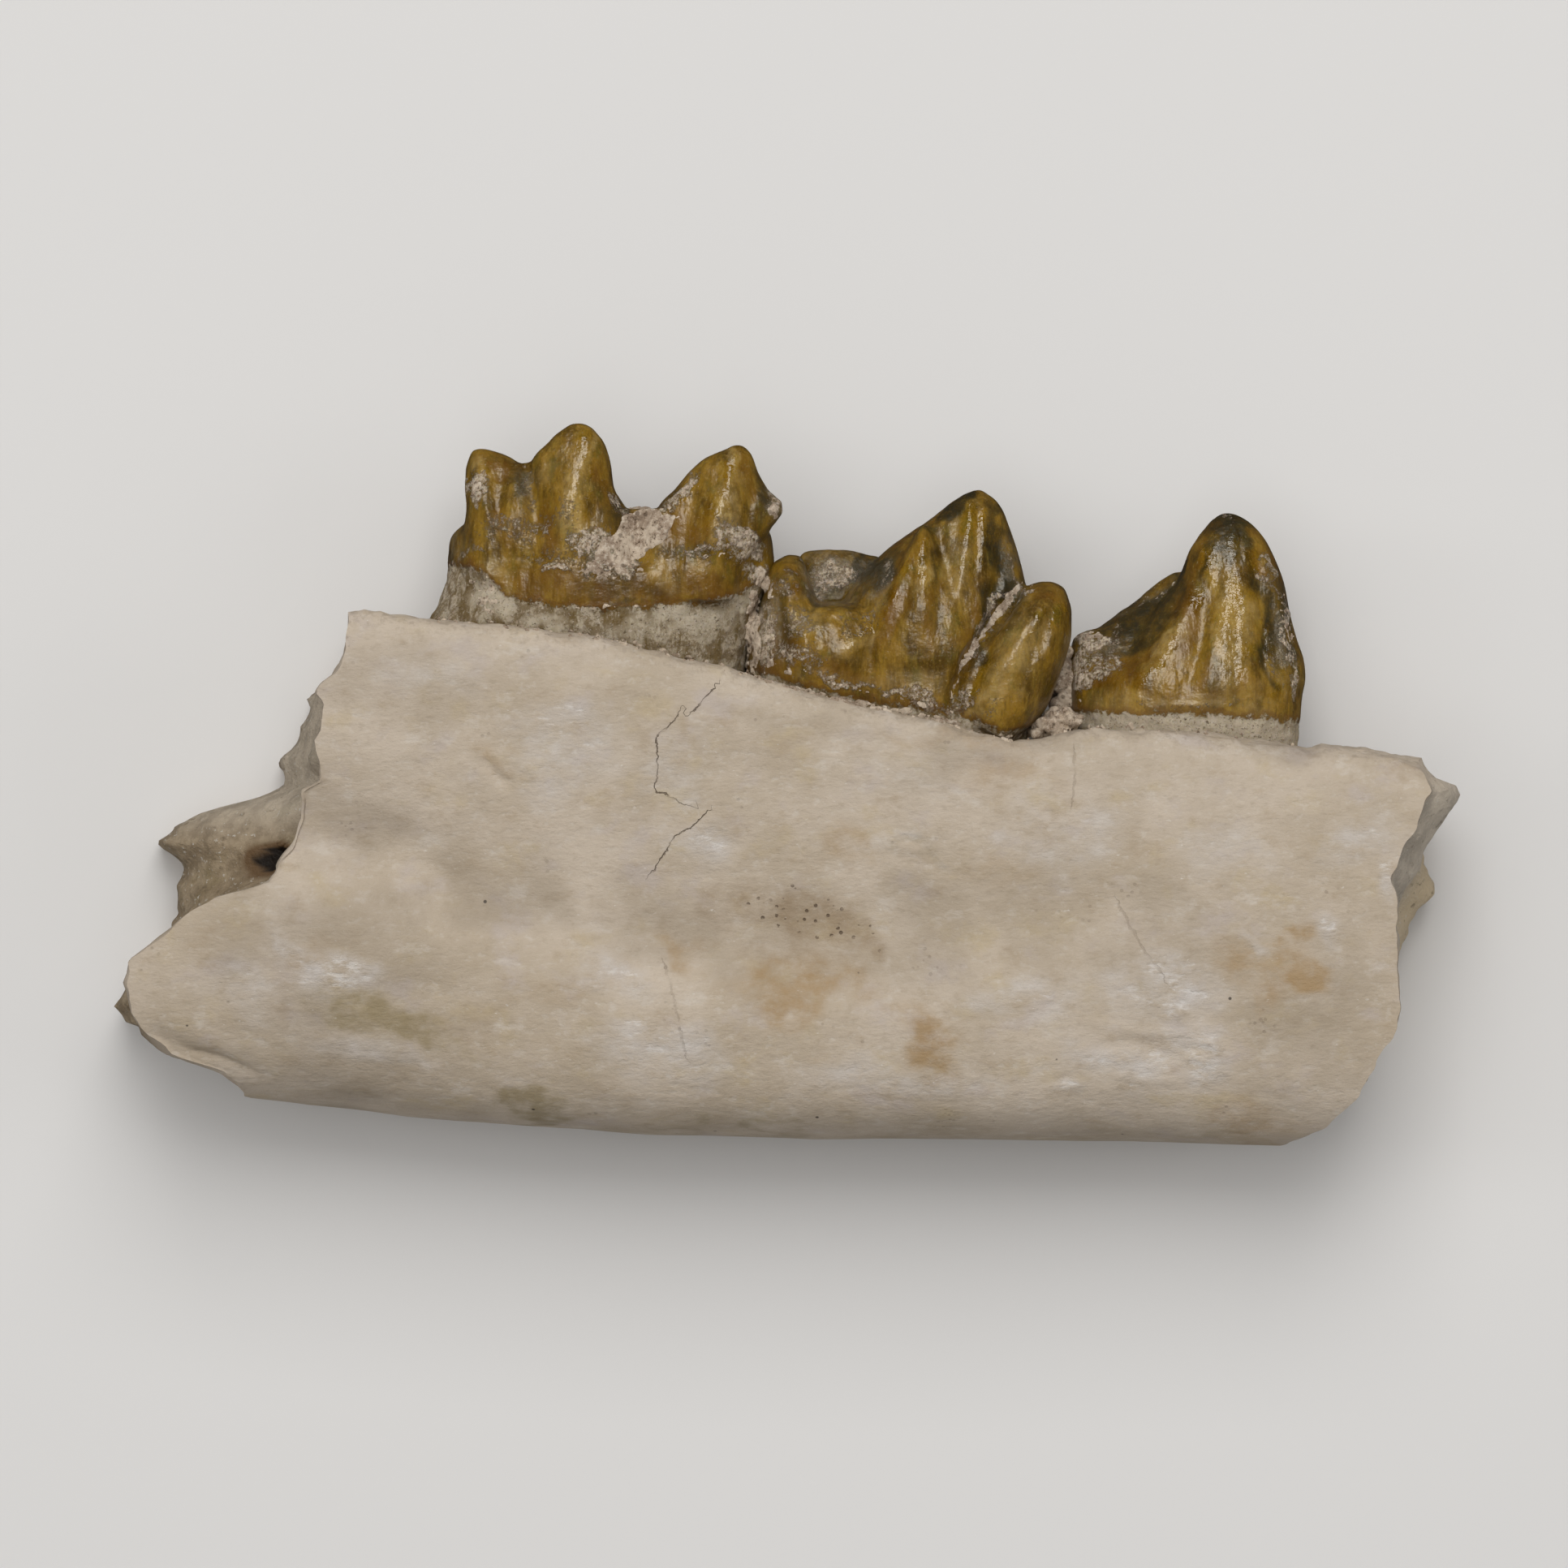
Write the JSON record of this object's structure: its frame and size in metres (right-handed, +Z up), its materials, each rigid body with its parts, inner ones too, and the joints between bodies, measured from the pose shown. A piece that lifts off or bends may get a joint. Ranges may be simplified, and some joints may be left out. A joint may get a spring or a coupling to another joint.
{
  "type": "fossil lower jaw piece of a small hoofed mammal with three cheek teeth",
  "caption": "Broken piece of a small fossil left lower jaw, tongue side up, with a molar and premolars standing in the bone, amber enamel over pale cream bone.",
  "frame": {"origin": "middle of the footprint, on the surface that the jaw lies on", "axes": "+X towards the front of the jaw, +Y towards the tooth tips, +Z up out of the tongue side"},
  "size_m": [0.027, 0.0146, 0.0057],
  "materials": {
    "bone": "matt, dry, fine grain along the jaw",
    "enamel": "glossy amber enamel with fine upright lines"
  },
  "bodies": {
    "root": {"jaw_bone": "bone", "molar": "enamel", "rear_premolar": "enamel", "front_premolar": "enamel"}
  },
  "joints": []
}
